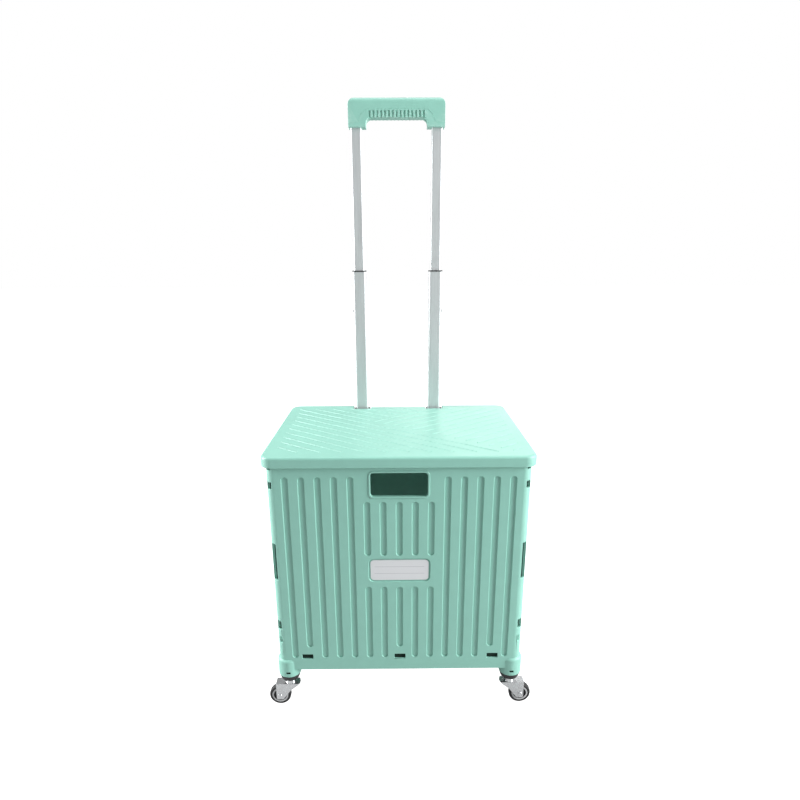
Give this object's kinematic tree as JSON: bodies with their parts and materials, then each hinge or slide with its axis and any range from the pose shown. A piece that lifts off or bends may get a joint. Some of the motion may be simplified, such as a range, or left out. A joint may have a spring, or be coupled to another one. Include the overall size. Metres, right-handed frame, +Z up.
{
  "type": "folding crate trolley",
  "caption": "Folding plastic crate with a lift-off lid, a telescopic pull handle and swivel casters.",
  "frame": {"origin": "on the floor, under the middle of the crate", "axes": "+Z up, the front panel faces -Y, +X to the right as seen from the front"},
  "size_m": [0.468, 0.332, 1.034],
  "materials": {
    "mint_plastic": "moulded polypropylene, fine satin grain",
    "light_mint_plastic": "moulded polypropylene, fine satin grain",
    "label": "printed card under a clear film",
    "tube_aluminium": "satin anodised",
    "dark_plastic": "black nylon",
    "chromed_steel": "bright plating",
    "steel": "drawn wire",
    "rubber_tyre": "hard rubber tread",
    "grey_plastic": "moulded wheel body"
  },
  "bodies": {
    "back": {"back_panel": "mint_plastic", "outer_tube_left": "tube_aluminium", "outer_tube_right": "tube_aluminium", "outer_collars": "dark_plastic", "tube_clamps": "dark_plastic", "clamp_screws": "steel", "floor_pin": "steel", "corner_pin_rear_left": "steel", "corner_pin_rear_right": "steel", "caster_ring_rear_left": "dark_plastic", "caster_ring_rear_right": "dark_plastic"},
    "floor": {"floor_panel": "mint_plastic"},
    "rear_half_left": {"side_rear_left": "mint_plastic", "middle_pin_left": "steel"},
    "front_half_left": {"side_front_left": "mint_plastic"},
    "front": {"front_panel": "mint_plastic", "corner_pin_front_left": "steel", "corner_pin_front_right": "steel", "label_card": "label", "caster_ring_front_left": "dark_plastic", "caster_ring_front_right": "dark_plastic"},
    "rear_half_right": {"side_rear_right": "mint_plastic", "middle_pin_right": "steel"},
    "front_half_right": {"side_front_right": "mint_plastic"},
    "lid": {"lid": "light_mint_plastic"},
    "middle_stage": {"middle_tube_left": "tube_aluminium", "middle_tube_right": "tube_aluminium", "middle_collars": "dark_plastic", "collar_rivets": "steel"},
    "inner_stage": {"inner_tube_left": "tube_aluminium", "inner_tube_right": "tube_aluminium", "guide_plug_left": "dark_plastic", "guide_plug_right": "dark_plastic", "grip_shell": "mint_plastic", "grip_underside": "mint_plastic", "button_spring": "steel"},
    "button": {"release_button": "light_mint_plastic", "push_rod_left": "steel", "push_rod_right": "steel"},
    "lock_left": {"lock_pin_left": "steel"},
    "lock_right": {"lock_pin_right": "steel"},
    "swivel_rear_left": {"fork_rear_left": "chromed_steel", "axle_rear_left": "chromed_steel"},
    "roller_rear_left": {"wheel_rear_left": "grey_plastic", "tyre_rear_left": "rubber_tyre"},
    "swivel_rear_right": {"fork_rear_right": "chromed_steel", "axle_rear_right": "chromed_steel"},
    "roller_rear_right": {"wheel_rear_right": "grey_plastic", "tyre_rear_right": "rubber_tyre"},
    "swivel_front_left": {"fork_front_left": "chromed_steel", "axle_front_left": "chromed_steel"},
    "roller_front_left": {"wheel_front_left": "grey_plastic", "tyre_front_left": "rubber_tyre"},
    "swivel_front_right": {"fork_front_right": "chromed_steel", "axle_front_right": "chromed_steel"},
    "roller_front_right": {"wheel_front_right": "grey_plastic", "tyre_front_right": "rubber_tyre"}
  },
  "joints": [
    {"name": "crate_fold", "type": "hinge", "parent": "back", "child": "rear_half_left", "pos_m": [-0.194, 0.121, 0.3], "axis": [0, 0, 1], "range_deg": [0, 86]},
    {"name": "middle_fold_left", "type": "hinge", "parent": "rear_half_left", "child": "front_half_left", "pos_m": [-0.2063, -0.011, 0.3], "axis": [0, 0, 1], "range_deg": [-178.5, 0.5]},
    {"name": "front_fold_left", "type": "hinge", "parent": "front_half_left", "child": "front", "pos_m": [-0.194, -0.143, 0.3], "axis": [0, 0, 1], "range_deg": [-0.5, 89.5]},
    {"name": "rear_fold_right", "type": "hinge", "parent": "back", "child": "rear_half_right", "pos_m": [0.194, 0.121, 0.3], "axis": [0, 0, 1], "range_deg": [-89.5, 0.5]},
    {"name": "middle_fold_right", "type": "hinge", "parent": "rear_half_right", "child": "front_half_right", "pos_m": [0.2063, -0.011, 0.3], "axis": [0, 0, 1], "range_deg": [-0.5, 178.5]},
    {"name": "floor_fold", "type": "hinge", "parent": "back", "child": "floor", "pos_m": [0, 0.129, 0.109], "axis": [-1, 0, 0], "range_deg": [-91.4, 0]},
    {"name": "lid_lift", "type": "slide", "parent": "back", "child": "lid", "axis": [0, 0, 1], "range_m": [0, 0.18]},
    {"name": "handle_lower_slide", "type": "slide", "parent": "back", "child": "middle_stage", "axis": [0, 0, 1], "range_m": [-0.26, 0]},
    {"name": "handle_upper_slide", "type": "slide", "parent": "middle_stage", "child": "inner_stage", "axis": [0, 0, 1], "range_m": [-0.235, 0]},
    {"name": "button_press", "type": "slide", "parent": "inner_stage", "child": "button", "axis": [0, 0, 1], "range_m": [-0.003, 0], "stiffness_N_per_m": 900, "springref_m": 0.003, "deforming": ["button_spring"]},
    {"name": "lock_pin_slide_left", "type": "slide", "parent": "middle_stage", "child": "lock_left", "axis": [1, 0, 0], "range_m": [0, 0.0007]},
    {"name": "lock_pin_slide_right", "type": "slide", "parent": "middle_stage", "child": "lock_right", "axis": [-1, 0, 0], "range_m": [0, 0.0007]},
    {"name": "swivel_rear_left", "type": "hinge", "parent": "back", "child": "swivel_rear_left", "pos_m": [-0.195, 0.143, 0.05], "axis": [0, 0, 1], "continuous": true},
    {"name": "roll_rear_left", "type": "hinge", "parent": "swivel_rear_left", "child": "roller_rear_left", "pos_m": [-0.215, 0.143, 0.019], "axis": [0, 1, 0], "continuous": true},
    {"name": "swivel_rear_right", "type": "hinge", "parent": "back", "child": "swivel_rear_right", "pos_m": [0.195, 0.143, 0.05], "axis": [0, 0, 1], "continuous": true},
    {"name": "roll_rear_right", "type": "hinge", "parent": "swivel_rear_right", "child": "roller_rear_right", "pos_m": [0.215, 0.143, 0.019], "axis": [0, 1, 0], "continuous": true},
    {"name": "swivel_front_left", "type": "hinge", "parent": "front", "child": "swivel_front_left", "pos_m": [-0.195, -0.143, 0.05], "axis": [0, 0, 1], "continuous": true},
    {"name": "roll_front_left", "type": "hinge", "parent": "swivel_front_left", "child": "roller_front_left", "pos_m": [-0.215, -0.143, 0.019], "axis": [0, 1, 0], "continuous": true},
    {"name": "swivel_front_right", "type": "hinge", "parent": "front", "child": "swivel_front_right", "pos_m": [0.195, -0.143, 0.05], "axis": [0, 0, 1], "continuous": true},
    {"name": "roll_front_right", "type": "hinge", "parent": "swivel_front_right", "child": "roller_front_right", "pos_m": [0.215, -0.143, 0.019], "axis": [0, 1, 0], "continuous": true}
  ],
  "couplings": [
    {"joint": "middle_fold_left", "follows": "crate_fold", "ratio": -2},
    {"joint": "front_fold_left", "follows": "crate_fold", "ratio": 1},
    {"joint": "rear_fold_right", "follows": "crate_fold", "ratio": -1},
    {"joint": "middle_fold_right", "follows": "crate_fold", "ratio": 2},
    {"joint": "lock_pin_slide_left", "follows": "button_press", "ratio": -0.2},
    {"joint": "lock_pin_slide_right", "follows": "button_press", "ratio": -0.2}
  ]
}
